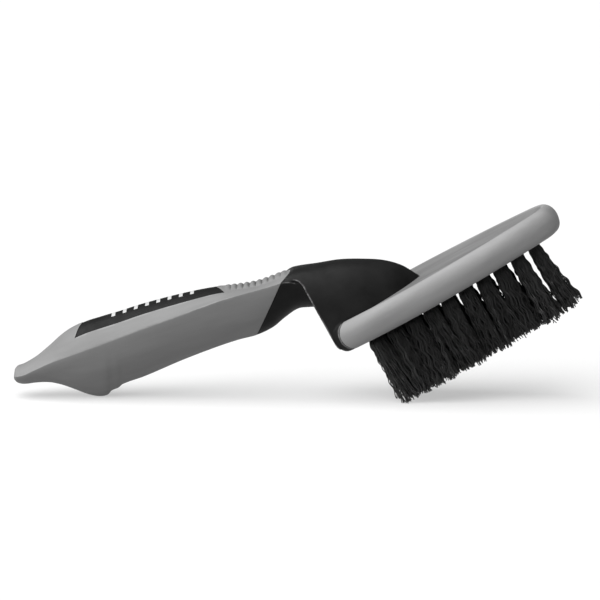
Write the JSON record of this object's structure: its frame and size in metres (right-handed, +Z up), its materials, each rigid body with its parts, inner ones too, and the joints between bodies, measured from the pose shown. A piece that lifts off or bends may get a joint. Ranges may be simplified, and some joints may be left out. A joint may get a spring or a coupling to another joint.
{
  "type": "wheel brush",
  "caption": "Hand brush for car wheels: slanted oval head of crimped bristle tufts with a soft bumper, an arched neck and a slanted, soft-skinned handle.",
  "frame": {"origin": "middle of the brush's footprint box, on the surface that it stands on", "axes": "+X from the tail of the handle to the front of the head, +Z up, with the brush standing on its heel and on the tips of its rear bristles"},
  "size_m": [0.2742, 0.06, 0.0949],
  "materials": {
    "core_plastic": "satin",
    "grip_rubber": "matte",
    "bumper_rubber": "matte",
    "bristle_nylon": "satin",
    "label_print": "satin",
    "anchor_wire": "satin"
  },
  "bodies": {
    "root": {"core": "core_plastic", "grip_sleeve": "grip_rubber", "head_bumper": "bumper_rubber", "tuft_1_1": "bristle_nylon", "tuft_1_2": "bristle_nylon", "tuft_1_3": "bristle_nylon", "tuft_1_4": "bristle_nylon", "tuft_2_1": "bristle_nylon", "tuft_2_2": "bristle_nylon", "tuft_2_3": "bristle_nylon", "tuft_2_4": "bristle_nylon", "tuft_3_1": "bristle_nylon", "tuft_3_2": "bristle_nylon", "tuft_3_3": "bristle_nylon", "tuft_3_4": "bristle_nylon", "tuft_4_1": "bristle_nylon", "tuft_4_2": "bristle_nylon", "tuft_4_3": "bristle_nylon", "tuft_4_4": "bristle_nylon", "tuft_5_1": "bristle_nylon", "tuft_5_2": "bristle_nylon", "tuft_5_3": "bristle_nylon", "tuft_5_4": "bristle_nylon", "tuft_6_1": "bristle_nylon", "tuft_6_2": "bristle_nylon", "tuft_6_3": "bristle_nylon", "tuft_6_4": "bristle_nylon", "tuft_7_1": "bristle_nylon", "tuft_7_2": "bristle_nylon", "tuft_7_3": "bristle_nylon", "tuft_7_4": "bristle_nylon", "tuft_8_1": "bristle_nylon", "tuft_8_2": "bristle_nylon", "tuft_8_3": "bristle_nylon", "tuft_8_4": "bristle_nylon", "tuft_9_1": "bristle_nylon", "tuft_9_2": "bristle_nylon", "tuft_9_3": "bristle_nylon", "tuft_9_4": "bristle_nylon", "tuft_10_1": "bristle_nylon", "tuft_10_2": "bristle_nylon"}
  },
  "joints": []
}
